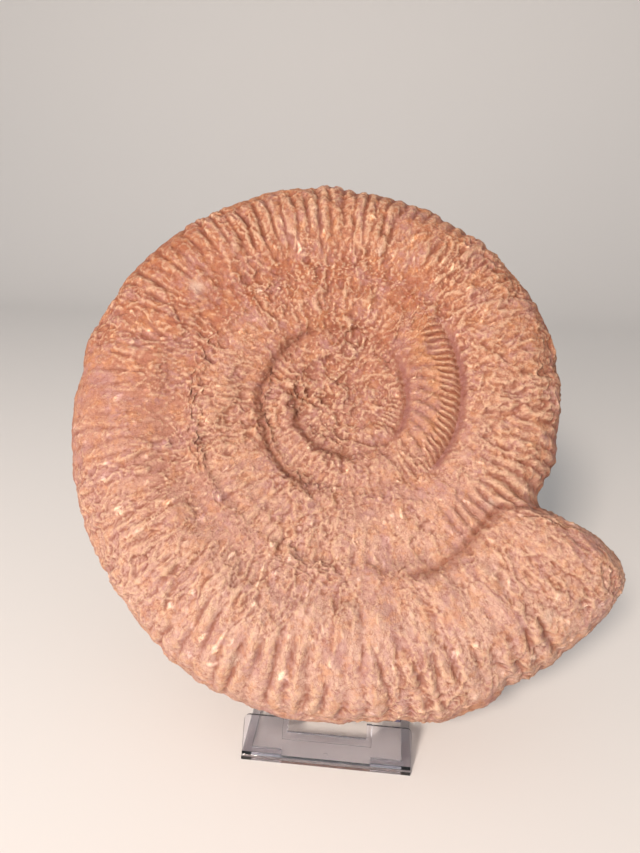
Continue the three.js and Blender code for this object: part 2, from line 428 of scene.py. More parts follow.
def read_points(mesh):
    places = np.empty(len(mesh.vertices) * 3)
    normals = np.empty(len(mesh.vertices) * 3)
    mesh.vertices.foreach_get("co", places)
    mesh.vertices.foreach_get("normal", normals)
    return places.reshape(-1, 3), normals.reshape(-1, 3)


places, normals = read_points(ammonite.data)
direction, t, whorl, out, width, radius = shell_address(before_nudge(places))
back = np.degrees(t)
front = smoothstep(-normals[:, 1], -0.2, 0.3)
print("refined skin:", len(places), "points")

# %% [markdown]
# ## The grain of the crust
#
# The crust breaks along the ribs, so its scales are longer than they are wide and point away
# from the coil's centre. Squeezing the distance from the centre before a noise is read
# stretches the noise the same way everywhere, with no joint anywhere round the coil. The
# squeezed places are kept on the mesh, so the material's patterns run along with the relief.

# %% Squeeze the places for the noises
GRAIN_STRETCH = 2.5
GRAIN_RADIUS = 120 * MM
GRAIN_CENTRE = 60 * MM


def grain_place(places):
    reach = (places[:, 0] ** 2 + places[:, 2] ** 2 + GRAIN_CENTRE ** 2) / GRAIN_RADIUS ** 2
    squeeze = reach ** ((1 / GRAIN_STRETCH - 1) / 2)
    return places * np.stack([squeeze, np.ones_like(squeeze), squeeze], axis=1)


grain = grain_place(places)


def sampled(rule):
    """A rule's value at every point of the skin, read in the squeezed places."""
    return np.array([rule(Vector(place)) for place in grain])


def lumps(size, offset):
    """Soft lumps of this size. The offset reads another part of the noise."""
    def rule(place):
        q = place / size + Vector((0, offset, 0))
        return noise.noise(q) + 0.5 * noise.noise(2.1 * q)
    return rule


print("grain runs", GRAIN_STRETCH, "times longer away from the centre")

# %% [markdown]
# ## Ribs
#
# The living shell had about 100 fine ribs round one turn, and the stone filling copied them.
# They begin as some 41 stouter ribs on the inner flank, which fork half way up. How close they
# stand differs a little from place to place, and the fixed model has 112 plain ones. How well
# they show differs too: strong round the bottom and the top, sharp and slanting where the
# second whorl is clean, lost under crust in between. So waves along the growth law are blended
# from inner to outer flank, and one table gives their heights back from the mouth. Nobody can
# see the back, so it is taken to be worn: the ribs fade out round the rim.

# %% Lay out the rib waves
RIBS = 100
STOUT_RIBS = 41
WORN_RIBS = 64
GROOVE_WIDTH = 0.15
PATCH_SIZE = 30 * MM
WOBBLE_SIZE = 11 * MM
UNEVEN_SIZE = 15 * MM
# degrees back from the mouth; rib height in mm on the outer and on the inner flank; where they
# fork, as a share of the whorl's width; slant in degrees; share of grooves cut narrow
RIB_TABLE = [
    (-30, 2.2, 0.6, 0.6, 1, 0.3), (2, 3.2, 1.6, 0.6, 1, 0.3), (22, 3.2, 2.8, 0.65, 1, 0.3),
    (42, 3.0, 2.4, 0.5, 1, 0.3), (77, 2.8, 1.7, 0.4, 1, 0.4), (95, 1.6, 1.0, 0.4, 1, 0.5),
    (121, 1.0, 0.5, 0.4, 1, 0.6), (155, 1.0, 0.6, 0.4, 1, 0.8), (172, 1.6, 1.1, 0.4, 1, 0.8),
    (205, 2.2, 1.6, 0.3, 1, 0.8), (222, 2.2, 1.2, 0.3, 1, 0.6), (245, 2.4, 1.2, 0.3, 1, 0.5),
    (267, 2.0, 1.1, 0.35, 1, 0.4), (287, 0.9, 0.7, 0.4, 1, 0.4), (325, 0.8, 0.7, 0.5, 2, 0.4),
    (340, 1.8, 0.6, 0.5, 2, 0.3), (350, 2.8, 0.8, 0.5, 2, 0.2), (373, 2.9, 0.9, 0.45, 2, 0.2),
    (384, 0.9, 0.8, 0.6, 3, 0.4), (402, 0.4, 0.8, 1.2, 4, 0.4), (452, 0.4, 0.8, 1.2, 4, 0.4),
    (472, 0.4, 0.5, 1.2, 4, 0.4), (547, 0.4, 0.5, 1.2, 4, 0.4), (600, 0.9, 1.0, 1.2, 6, 0.4),
    (632, 1.0, 1.1, 0.9, 16, 0.3), (645, 3.0, 2.4, 0.62, 16, 0.2), (712, 3.0, 2.4, 0.62, 16, 0.2),
    (722, 2.0, 1.6, 0.8, 17, 0.3), (735, 0.5, 0.7, 1.2, 9, 0.4), (797, 0.5, 0.6, 1.2, 4, 0.4),
    (887, 0.7, 0.8, 1.2, 4, 0.4), (977, 0.4, 0.5, 1.2, 4, 0.4), (1007, 1.1, 1.1, 1.2, 4, 0.3),
    (1075, 1.1, 1.1, 1.2, 4, 0.3), (1090, 0, 0, 1.2, 4, 0.4),
]


def along(table, column):
    """A column of a table whose first column is degrees back from the mouth."""
    return np.interp(back, [row[0] for row in table], [row[column] for row in table])


outer_height, inner_height, fork, slant, cut = (along(RIB_TABLE, column) for column in range(1, 6))
patchy = sampled(lumps(PATCH_SIZE, 2.0))
wobble = sampled(lumps(WOBBLE_SIZE, 21.0))
# the ribs are clean on the second whorl's right side and in the corner above the mouth
clean = smoothstep(back, 630, 650) * (1 - smoothstep(back, 712, 735))
corner = smoothstep(back, 340, 352) * (1 - smoothstep(back, 370, 382))
even = np.maximum(clean, corner)
uneven = np.clip(0.9 + 1.5 * sampled(lumps(UNEVEN_SIZE, 44.0)), 0.15, 1.7) * (1 - even) + even


def wave(count, wander):
    """A wave of this many ribs a turn: part of it round, the rest flat with narrow grooves."""
    phase = count * (t - np.radians(slant) * np.clip(out, 0, 1.1)) / TURN + wander * (1 - 0.8 * clean)
    from_groove = np.abs(np.mod(phase, 1) - 0.5)
    grooves = 0.2 - np.exp(-((from_groove / GROOVE_WIDTH) ** 2))
    return 0.5 * (1 - cut) * np.cos(TURN * phase) + cut * grooves


print("rib waves a turn:", RIBS, "outer,", STOUT_RIBS, "inner,", WORN_RIBS, "on the worn whorls")

# %% Blend the waves into ribs
has_stout = np.clip(1 - smoothstep(back, 380, 420) + clean, 0, 1)
worn_wave = wave(WORN_RIBS, 0.5 * patchy + 0.35 * wobble)
inner_wave = has_stout * wave(STOUT_RIBS, 0.3 * patchy) + (1 - has_stout) * worn_wave
outer_wave = wave(RIBS, 0.3 * patchy + 0.2 * wobble)
forked = smoothstep(out, fork - 0.12, fork + 0.12)
ribs = MM * uneven * (forked * outer_height * outer_wave + (1 - forked) * inner_height * inner_wave)
ribs *= 1 - (1 - smoothstep(back, 2, 14)) * smoothstep(back, -30, 0)
ribs *= (1 - 0.45 * smoothstep(patchy, -0.1, 0.4) * (1 - even)) * front * smoothstep(out, 0.05, 0.25)
ribs *= 1 - 0.7 * smoothstep(out, 0.88, 1.0) * (whorl == 0)
print("rib spacing at the mouth's rim:", round(float(TURN * rim_radius(0)) / RIBS / MM, 1), "mm")
print("ribs run from", round(float(ribs.min()) / MM, 2), "to", round(float(ribs.max()) / MM, 2), "mm")

# %% [markdown]
# ## Crust and flakes
#
# The rough crust is left from cleaning: stacked thin flakes with sharp edges, and worm-like
# ridges between them. A flake edge is a terrace: a smooth noise is cut into levels, so that
# it climbs in short steep steps. A ridge is the line where another noise crosses zero.

# %% Sample the crust
FLAKE_SIZE = 14 * MM
FLAKE_STEP = 0.5 * MM
FLAKE_LEVELS = 7
BIG_FLAKE_SIZE = 20 * MM
PLATE_SIZE = 6.5 * MM
RIDGE_SIZE = 6 * MM
CRACK_SIZE = 7 * MM
LONG_RIDGE_SIZE = 13 * MM
LUMP_SIZE = 24 * MM
SMALL_LUMP_SIZE = 10 * MM


def thin_lines(size, offset, sharpness):
    """1 along curly lines where a noise crosses zero, 0 away from them."""
    def rule(place):
        q = place / size + Vector((offset, 0, 0))
        bent = q + 0.8 * noise.noise_vector(0.9 * q)
        return max(1 - sharpness * abs(noise.noise(bent)), 0)
    return rule


def plate_heights(size, offset):
    """A different height, 0 to 1, for each irregular plate."""
    def rule(place):
        q = place / size + Vector((0, 0, offset))
        middle = noise.voronoi(q + 0.35 * noise.noise_vector(1.7 * q))[1][0]
        return noise.cell(7.3 * middle)
    return rule


def terraces(values):
    """Turns a smooth slope into level steps, less the slope itself."""
    level = FLAKE_LEVELS * values
    climb = smoothstep(level - np.floor(level), 0.0, 0.3)
    return np.floor(level) + climb - level


ridges = sampled(thin_lines(RIDGE_SIZE, 3.0, 4.5))
cracks = sampled(thin_lines(CRACK_SIZE, 11.0, 6.0))
plates = sampled(plate_heights(PLATE_SIZE, 17.0)) - 0.5
long_ridges = sampled(thin_lines(LONG_RIDGE_SIZE, 27.0, 3.5))
soft_lumps = sampled(lumps(LUMP_SIZE, 5.0))
small_lumps = sampled(lumps(SMALL_LUMP_SIZE, 52.0))
flake_field = sampled(lumps(FLAKE_SIZE, 8.0))
flakes = terraces(flake_field) + 0.35 * FLAKE_LEVELS * flake_field
big_flakes = smoothstep(sampled(lumps(BIG_FLAKE_SIZE, 31.0)), -0.03, 0.05) - 0.5
print("crust noise sampled at", len(places), "points")

# %% [markdown]
# ## Seams
#
# Where one whorl sits on the last there is a seam. On the right it is open: the outer whorl
# ends in a smooth steep wall. On the left and below, crust and mud fill it to a soft valley.

# %% Find the seams
# degrees back from the mouth, on the outer whorl; how open the seam is; how deep the mud is in mm
SEAM_TABLE = [
    (-40, 1, 0), (28, 1, 2), (40, 0, 3), (80, 0, 5.5), (282, 0, 5.5), (296, 1, 5.5), (358, 1, 4),
    (368, 0, 2.5), (425, 0, 2.5), (440, 0.85, 2.5), (560, 0.85, 2.5), (585, 0.4, 2.5),
    (640, 0.4, 2.5), (652, 1, 2.5), (713, 1, 2.5), (722, 0.2, 2), (758, 0.2, 1), (770, 0.8, 1),
    (866, 0.8, 1), (885, 0, 1), (1080, 0, 0),
]
WALL_TABLE = [(282, 0), (296, 1), (360, 1), (368, 0), (640, 0), (652, 0.9), (713, 0.9), (722, 0)]

seam_outside = seam_share(t - TURN) * rim_radius(t)
to_inner = np.abs(out) * width
to_outer = np.where(t > TURN - 0.5, np.abs(seam_outside - radius), 1.0)
near_inner = to_inner < to_outer
seam_distance = np.minimum(to_inner, to_outer)
past_seam = np.where(near_inner, seam_distance, -seam_distance)


def along_seam(table, column, inner):
    """A table's column at the seam inside (inner=True) or outside each point's whorl."""
    place = back if inner else back - 360
    return np.interp(place, [row[0] for row in table], [row[column] for row in table])


open_seam = np.where(near_inner, along_seam(SEAM_TABLE, 1, True), along_seam(SEAM_TABLE, 1, False))
on_wall = near_inner * along_seam(WALL_TABLE, 1, True) * (1 - smoothstep(to_inner, 2 * MM, 5 * MM)) * front
print("points on the smooth walls:", int((on_wall > 0.5).sum()))

# %% [markdown]
# ## The relief
#
# Ribs, crust, worm-like ridges and soft lumps are added to one height. It is bent towards a
# limit, so no crest stands past the fixed model. Open seams are cut as grooves, and mud fills
# the others: it lifts the ground inside the seam and leaves a worn slope outside it.

# %% Add up the relief
SKIN_LOSS = 1.9 * MM
HEIGHT_LIMIT = 3.4 * MM
BIG_FLAKE_STEP = 1.2 * MM
LUMP_HEIGHT = 1.3 * MM
RIDGE_HEIGHT_MM = 0.95
CRACK_DEPTH_MM = 0.4
PLATE_STEP_MM = 0.5
BARE_PATCH_SIZE = 38 * MM
MIDDLE_RADIUS = 25 * MM
MIDDLE_END = 62 * MM
GROOVE_HALF_WIDTH = 2.6 * MM

rough = (1 - 0.9 * on_wall) * (1 - 0.6 * clean) * (1 - 0.4 * corner) * (0.45 + 0.55 * front)
rough *= 1 - 0.4 * smoothstep(out, 0.85, 1.0) * (whorl == 0)
rough *= 0.6 + 0.75 * smoothstep(sampled(lumps(BARE_PATCH_SIZE, 41.0)), -0.35, 0.35)
smoother_flank = 1 - 0.2 * smoothstep(back, 115, 130) * (1 - smoothstep(back, 160, 200))
lines_and_plates = RIDGE_HEIGHT_MM * ridges - CRACK_DEPTH_MM * cracks + PLATE_STEP_MM * plates
crust = FLAKE_STEP * flakes + BIG_FLAKE_STEP * big_flakes + MM * lines_and_plates
middle = 1 - smoothstep(np.hypot(places[:, 0], places[:, 2]), MIDDLE_RADIUS, MIDDLE_END)
worms = MM * (0.6 + middle) * (long_ridges + 1.5 * small_lumps)
height = ribs + rough * smoother_flank * (crust + worms) + LUMP_HEIGHT * soft_lumps
height = HEIGHT_LIMIT * np.tanh(height / HEIGHT_LIMIT) - SKIN_LOSS
groove = (2.2 + 1.2 * smoothstep(back, 30, 200)) * MM * open_seam
groove *= np.exp(-((seam_distance / GROOVE_HALF_WIDTH) ** 2))


def mud_at(inner, past):
    """How far mud lifts the ground on the inner side of a seam and wears down the outer side."""
    ramp_up = np.exp(-(((past + 11 * MM) / (13 * MM)) ** 2))
    worn = np.exp(-(((past - 7 * MM) / (12 * MM)) ** 2))
    depth = along_seam(SEAM_TABLE, 2, inner) * MM
    return depth * (1 - along_seam(SEAM_TABLE, 1, inner)) * (ramp_up - 0.6 * worn)


fill = mud_at(True, to_inner) + mud_at(False, -to_outer)
print("relief runs from", round(float(height.min()) / MM, 2), "to", round(float(height.max()) / MM, 2), "mm")

# %% [markdown]
# ## Raising the relief and keeping notes for the paint
#
# Each point moves along its own normal by the height. Painted light is laid into the stone's
# colour by where a point lies in that relief: painted shade darkens the crevices and the broad
# hollows, and painted highlights lighten the crests. A crevice is a point that lies lower than
# its neighbours, and that is measured along the mesh's edges. The measures are kept on the mesh
# as attributes, and the material reads them later. The back is rubbed flat where it leans on
# the stand's rest, so the two pieces never cut each other.

# %% Raise the relief
FRONT_WEAR = 0.96
REST_PLANE = 35 * MM
REST_HALF_WIDTH = 48 * MM
REST_TOP = -46 * MM
REST_BLEND = 10 * MM
REST_RELIEF = 6 * MM

front_side = smoothstep(-places[:, 1], 2 * MM, 12 * MM)
places += normals * height[:, None]
places[:, 1] += front_side * (groove - fill)
rest_side = smoothstep(np.abs(places[:, 0]), REST_HALF_WIDTH, REST_HALF_WIDTH + REST_BLEND)
rest = REST_PLANE + REST_RELIEF * rest_side
rest += REST_RELIEF * smoothstep(places[:, 2], REST_TOP, REST_TOP + REST_BLEND)
places[:, 1] = np.minimum(places[:, 1] * np.where(places[:, 1] < 0, FRONT_WEAR, 1), rest)
ammonite.data.vertices.foreach_set("co", places.ravel())
ammonite.data.update()
print("points rubbed flat by the rest:", int((places[:, 1] == rest).sum()))

# %% Measure crevices and crests


def lower_than_neighbours(mesh, values, rounds):
    pairs = np.empty(len(mesh.edges) * 2, dtype=np.int64)
    mesh.edges.foreach_get("vertices", pairs)
    first, second = pairs.reshape(-1, 2).T
    count = len(values)
    links = np.bincount(first, minlength=count) + np.bincount(second, minlength=count)
    level = values
    for _ in range(rounds):
        around = np.bincount(first, level[second], count) + np.bincount(second, level[first], count)
        level = 0.3 * level + 0.7 * around / links
    return level - values


def keep(mesh, name, values):
    layer = mesh.attributes.new(name, "FLOAT", "POINT")
    layer.data.foreach_set("value", np.ascontiguousarray(values, dtype=np.float32))


narrow = lower_than_neighbours(ammonite.data, height, 3) / MM
broad = (lower_than_neighbours(ammonite.data, height, 14) - 0.35 * ribs) / MM
seam_shade = (0.55 + 0.45 * smoothstep(back, 30, 200)) * open_seam * (1 - 0.7 * on_wall)
seam_shade *= np.exp(-((seam_distance / (3 * MM)) ** 2))
# painted shade: crevices and open seams are marked here to be darkened red-brown
keep(ammonite.data, "crevice_shade", np.clip(smoothstep(narrow, 0.06, 0.42) + 0.9 * seam_shade, 0, 1))
# painted shade: the broad hollows are marked here to be darkened brown
keep(ammonite.data, "hollow_shade", smoothstep(broad, 0.1, 0.9))
# painted highlight: the crests are marked here to be lightened pale peach
keep(ammonite.data, "crest_highlight", smoothstep(-narrow, 0.06, 0.34))
print("crevice points:", int((narrow > 0.2).sum()), "of", len(narrow))

# %% [markdown]
# ## Where the stone is stained, and where shade and glints are painted
#
# Rust gathers beside the seams, in the valley on the left, along the rim and round the left
# and the top. The same notes paint shade there too: beside the seams, in the valley, on the
# left flank, at the top and on the right rim, which turns away from the light. The middle is
# mauve, the clean ribs are bright tan, and a few specks of pale calcite lie bare, with some
# painted glints among them. Each of these places is one more attribute for the material.

# %% Keep notes for the paint
VALLEY = 14 * MM
valley = np.exp(-(((out * width - VALLEY) / VALLEY) ** 2))
# rust and painted shade beside the seams, then in the valley on the left
rust_and_painted_shade = (1 - 0.3 * open_seam) * np.exp(-((past_seam / (12 * MM)) ** 2)) * (1 - on_wall)
rust_and_painted_shade += 0.9 * towards(direction, 200, 60) * valley * (whorl == 0)
# painted shade in a rust colour on the right rim, which turns away from the light
rust_and_painted_shade += 0.6 * towards(direction, 5, 50) * smoothstep(out, 0.7, 0.95) * (whorl == 0)
# painted shade on the left flank, rust and painted shade at the top
rust_and_painted_shade += 0.75 * towards(direction, 168, 62) * (whorl == 0) + 0.3 * towards(direction, 95, 60) * (whorl < 2)
keep(ammonite.data, "wall", on_wall)
keep(ammonite.data, "rust_and_painted_shade", np.clip(rust_and_painted_shade, 0, 1))
keep(ammonite.data, "middle", middle)
keep(ammonite.data, "clean", clean * smoothstep(out, 0.1, 0.4) * (1 - on_wall))
# rust and painted shade along the rim's edge, less of it at the bottom
rim_rust_and_shade = smoothstep(out, 0.9, 1.0) * (whorl == 0) * (t > 0.1)
keep(ammonite.data, "edge", rim_rust_and_shade * (1 - 0.8 * towards(direction, 250, 60)))
grain_layer = ammonite.data.attributes.new("grain", "FLOAT_VECTOR", "POINT")
grain_layer.data.foreach_set("vector", grain.astype(np.float32).ravel())
print("notes kept:", [layer.name for layer in ammonite.data.attributes if layer.data_type == "FLOAT"])

# %% Bare a few specks of calcite and paint a few glints
# direction in degrees, distance from the centre in mm, size in mm
# pale calcite specks, and painted glints at some of these spots
CALCITE_AND_GLINTS = [
    (146, 117, 4.5), (131, 88, 2), (80, 93, 5), (252, 166, 4), (315, 172, 3), (200, 38, 2),
    (326, 108, 3),
]
calcite_and_glint = np.zeros(len(places))
for degrees, distance, size in CALCITE_AND_GLINTS:
    angle = math.radians(degrees)
    across = places[:, 0] / MM - distance * math.cos(angle)
    up = places[:, 2] / MM - distance * math.sin(angle)
    calcite_and_glint = np.maximum(calcite_and_glint, np.exp(-((np.hypot(across, up) / size) ** 2)) * (places[:, 1] < 0))
keep(ammonite.data, "calcite_and_glint", calcite_and_glint * smoothstep(plates + 0.5 * ridges, -0.2, 0.2))
print("points on calcite:", int((calcite_and_glint > 0.5).sum()))

# %% [markdown]
# ## Fewer triangles, same relief
#
# A mesh this fine is heavier than its relief needs. Decimating merges the points that change
# the surface least, so flat places thin out and sharp crust keeps its points.

# %% Thin the mesh
MOST_TRIANGLES = 196000

ammonite.data.calc_loop_triangles()
before = len(ammonite.data.loop_triangles)
thin = ammonite.modifiers.new("thin", "DECIMATE")
thin.ratio = MOST_TRIANGLES / before
apply_modifiers(ammonite)
ammonite.data.calc_loop_triangles()
print("triangles:", before, "before,", len(ammonite.data.loop_triangles), "after")

# %% [markdown]
# ## Leaning the fossil back
#
# Only now is the shell leaned back and carried to its place on the stand. The move is made
# in the mesh, so the object itself stays at the origin, unturned and unscaled.

# %% Put the fossil in its place
to_place = Matrix.Translation(COIL_CENTRE) @ Matrix.Rotation(-LEAN, 4, "X")
ammonite.data.transform(to_place)
ammonite.data.shade_smooth()
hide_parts("ammonite")
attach(ammonite, "root")
low = np.min([v.co for v in ammonite.data.vertices], axis=0)
high = np.max([v.co for v in ammonite.data.vertices], axis=0)
print("fossil from", (low / MM).round(1).tolist(), "to", (high / MM).round(1).tolist(), "mm")

# %% [markdown]
# ## Tools for the finishes
#
# Colours are written as the sRGB hex values that a picture editor shows, and Blender wants
# linear light, so one function turns them. Another adds a node with its settings and links.

# %% Colour and node helpers


def colour(hex_value):
    channels = [int(hex_value[i:i + 2], 16) / 255 for i in (1, 3, 5)]
    linear = [c / 12.92 if c <= 0.04045 else ((c + 0.055) / 1.055) ** 2.4 for c in channels]
    return (*linear, 1.0)


def add(tree, kind, inputs, **settings):
    """Adds a node. An input is a plain value, or an output socket to link it to."""
    node = tree.nodes.new(kind)
    for name, value in settings.items():
        setattr(node, name, value)
    for key, value in inputs.items():
        if isinstance(value, bpy.types.NodeSocket):
            tree.links.new(value, node.inputs[key])
        else:
            node.inputs[key].default_value = value
    return node


def ramp(tree, factor, stops):
    node = add(tree, "ShaderNodeValToRGB", {"Fac": factor})
    elements = node.color_ramp.elements
    while len(elements) < len(stops):
        elements.new(0.5)
    for element, (position, hex_value) in zip(elements, stops):
        element.position = position
        element.color = colour(hex_value)
    return node.outputs["Color"]


def mixed(tree, factor, first, second, factor_scale=1.0):
    """Lays the second colour over the first, as much as the factor says."""
    if factor_scale != 1.0:
        scaled = add(tree, "ShaderNodeMath", {0: factor, 1: factor_scale}, operation="MULTIPLY")
        factor = scaled.outputs[0]
    node = add(tree, "ShaderNodeMix", {}, data_type="RGBA")
    for key, value in ((0, factor), (6, first), (7, second)):
        if isinstance(value, bpy.types.NodeSocket):
            tree.links.new(value, node.inputs[key])
        else:
            node.inputs[key].default_value = value
    return node.outputs[2]


def new_material(name):
    material = bpy.data.materials.new(name)
    material.use_nodes = True
    material.node_tree.nodes.clear()
    return material, material.node_tree


def grains_of(size_mm):
    """A noise texture's scale for a pattern of this size."""
    return 1 / (size_mm * MM)


print("mid grey in linear light:", round(colour("#808080")[0], 3))

# %% [markdown]
# ## Iron-stained limestone
#
# The stone is limestone stained by iron: a dull orange tan with greyish mauve patches where the
# crust is thin. It is rough and barely shines. Its colour is built as a painter would: a mottled
# ground, then one thin layer over the other, each where the notes on the mesh or a noise say.
# Some layers are painted light: pale highlights on the crests, a pinker, paler sheen mixed with
# dust towards the bottom, and red-brown shade in the crevices. Noises of 30, 3.6 and 1.7 mm give
# the ground its clouds, its speckle and its grit.

# %% Lay the mottled ground


def cloud(tree, where, size_mm, detail=4.0, rough=0.6, kind="FBM"):
    """A noise whose pattern has this size in mm."""
    return add(tree, "ShaderNodeTexNoise", {
        "Vector": where, "Scale": grains_of(size_mm), "Detail": detail, "Roughness": rough,
    }, noise_type=kind).outputs["Fac"]


def mottled_ground(tree, place, grain):
    clouds = ramp(tree, cloud(tree, place, 30, 5.0, 0.65), [
        (0.36, "#b05c28"), (0.46, "#de9254"), (0.54, "#e2ac90"), (0.66, "#ce8044"),
    ])
    speckle = ramp(tree, cloud(tree, grain, 3.6, 6.0, 0.78), [
        (0.38, "#8a421e"), (0.50, "#d88f5c"), (0.62, "#ffdab0"),
    ])
    grit = ramp(tree, cloud(tree, place, 1.7, 3.0, 0.7), [
        (0.43, "#6a3622"), (0.50, "#d69268"), (0.57, "#ffe6c8"),
    ])
    return mixed(tree, 0.4, mixed(tree, 0.5, clouds, speckle), grit)


def layered(tree, note, tone, layers):
    """Lays one colour for each note: its name, the colour, and how strong it is."""
    for name, hex_value, strength in layers:
        tone = mixed(tree, note[name], tone, colour(hex_value), factor_scale=strength)
    return tone


print("terracotta in linear light:", [round(c, 3) for c in colour("#c4764f")[:3]])

# %% [markdown]
# ## Stains, dust and painted light
#
# Rust and the mauve of the middle come first, as they are in the stone; the rust layer carries
# painted shade too, and painted shade darkens the broad hollows. A pale layer of dust and
# painted sheen lies over them and gets thicker towards the bottom. Last come the painted
# highlights on the crests and the red-brown painted shade in the crevices, because they lie on
# top of everything.

# %% Stain the ground, dust it and paint light on it
DUST_AND_SHEEN_TOP = 250 * MM
DUST_AND_SHEEN_FULL = 90 * MM
DUST_AND_SHEEN_STRENGTH = 0.58


def stained_and_shaded_tone(tree, note, place, tone):
    tone = layered(tree, note, tone, [("clean", "#eeaa62", 0.55)])
    patches = ramp(tree, cloud(tree, place, 12), [(0.44, "#383838"), (0.56, "#ffffff")])
    mauve = add(tree, "ShaderNodeMath", {
        0: note["middle"], 1: patches,
    }, operation="MULTIPLY").outputs["Value"]
    tone = mixed(tree, mauve, tone, colour("#84545a"), factor_scale=0.92)
    # rust with painted shade, then painted shade in the broad hollows
    return layered(tree, note, tone, [("rust_and_painted_shade", "#9e4d20", 0.92), ("hollow_shade", "#9c5c44", 0.6)])


def tone_with_dust_and_painted_light(tree, note, place, grain, tone):
    height = add(tree, "ShaderNodeSeparateXYZ", {"Vector": place}).outputs["Z"]
    # dust and painted sheen: the colour turns paler towards the bottom
    dust_and_sheen = add(tree, "ShaderNodeMapRange", {
        "Value": height, "From Min": DUST_AND_SHEEN_TOP, "From Max": DUST_AND_SHEEN_FULL, "To Min": 0.0, "To Max": DUST_AND_SHEEN_STRENGTH,
    }).outputs["Result"]
    tone = mixed(tree, dust_and_sheen, tone, colour("#fae3d6"))
    # rust and painted shade along the rim's edge
    tone = layered(tree, note, tone, [("edge", "#a8561f", 0.75)])
    lilac = ramp(tree, cloud(tree, grain, 13, 6.0, 0.72), [(0.49, "#000000"), (0.60, "#d4d4d4")])
    tone = mixed(tree, lilac, tone, colour("#b9949a"))
    amber = ramp(tree, cloud(tree, place, 8, 5.0, 0.72), [(0.50, "#000000"), (0.60, "#b4b4b4")])
    tone = mixed(tree, amber, tone, colour("#e6a566"))
    # painted highlights on the crests, mauve walls, painted shade in the crevices, calcite and painted
    # glints
    return layered(tree, note, tone, [
        ("crest_highlight", "#ffdfba", 0.8), ("wall", "#9a6f76", 0.8), ("crevice_shade", "#6a3420", 0.78),
        ("calcite_and_glint", "#f6e6d2", 0.8),
    ])


print("dust lies from", round(DUST_AND_SHEEN_TOP / MM), "down to", round(DUST_AND_SHEEN_FULL / MM), "mm")

# %% [markdown]
# ## Painted shadow lines and chips
#
# Close up, the crust is a maze of thin dark lines between small chips: the shadows under the
# flake edges, painted into the colour. A line is where a noise crosses its middle value. The
# chips are cells of 2.6 mm, coarser than the real grit, which would be too fine to show. Each
# chip has a painted shadow along its edge. Their places are bent by a noise, so no edge is
# straight.

# %% Draw the painted shadow lines and the chips
HAIRLINE_SHADOWS = [(5.5, 0.6), (3.2, 0.4)]
CHIP_SIZE = 2.6
CHIP_BEND = (0.006, 0.006, 0.006)


def with_hairline_shadows(tree, grain, tone):
    for size_mm, strength in HAIRLINE_SHADOWS:
        line = ramp(tree, cloud(tree, grain, size_mm, 3.0), [
            (0.478, "#000000"), (0.5, "#ffffff"), (0.512, "#000000"),
        ])
        # painted shadow: thin dark lines where the flake edges would shade
        tone = mixed(tree, line, tone, colour("#743a24"), factor_scale=strength)
    return tone


def bent_places(tree, grain):
    bend = add(tree, "ShaderNodeTexNoise", {"Vector": grain, "Scale": grains_of(5), "Detail": 2.0})
    return add(tree, "ShaderNodeVectorMath", {
        0: bend.outputs["Color"], 1: CHIP_BEND, 2: grain,
    }, operation="MULTIPLY_ADD").outputs["Vector"]


def chips(tree, bent, feature):
    return add(tree, "ShaderNodeTexVoronoi", {
        "Vector": bent, "Scale": grains_of(CHIP_SIZE),
    }, feature=feature).outputs


def with_chips(tree, bent, chip, tone):
    """Each chip gets a tone of its own, and a thin painted shadow along its edge."""
    chip_tone = ramp(tree, chip, [(0.0, "#a35f3d"), (0.5, "#d59a74"), (1.0, "#fbd3b8")])
    tone = mixed(tree, 0.14, tone, chip_tone)
    distance = chips(tree, bent, "DISTANCE_TO_EDGE")["Distance"]
    # painted shadow: a thin dark line along each chip's edge
    edge = ramp(tree, distance, [(0.0, "#ffffff"), (0.07, "#000000")])
    return mixed(tree, edge, tone, colour("#7a3d26"), factor_scale=0.2)


print("hairlines every", [size for size, _ in HAIRLINE_SHADOWS], "mm, chips of", CHIP_SIZE, "mm")

# %% [markdown]
# ## The whole stone finish
#
# The layers are put together here, and painted shade darkens the cracks between the worm-like
# ridges. The finest relief is too small to model, so a chain of three bumps adds it: the chips,
# the worm-like ridges and the grit.

# %% Make the stone
NOTES = ("crevice_shade", "hollow_shade", "crest_highlight", "wall", "rust_and_painted_shade", "middle", "edge", "calcite_and_glint", "clean")


def bumped(tree, height, depth_mm, strength, below=None):
    inputs = {"Strength": strength, "Distance": depth_mm * MM, "Height": height}
    if below:
        inputs["Normal"] = below
    return add(tree, "ShaderNodeBump", inputs).outputs["Normal"]


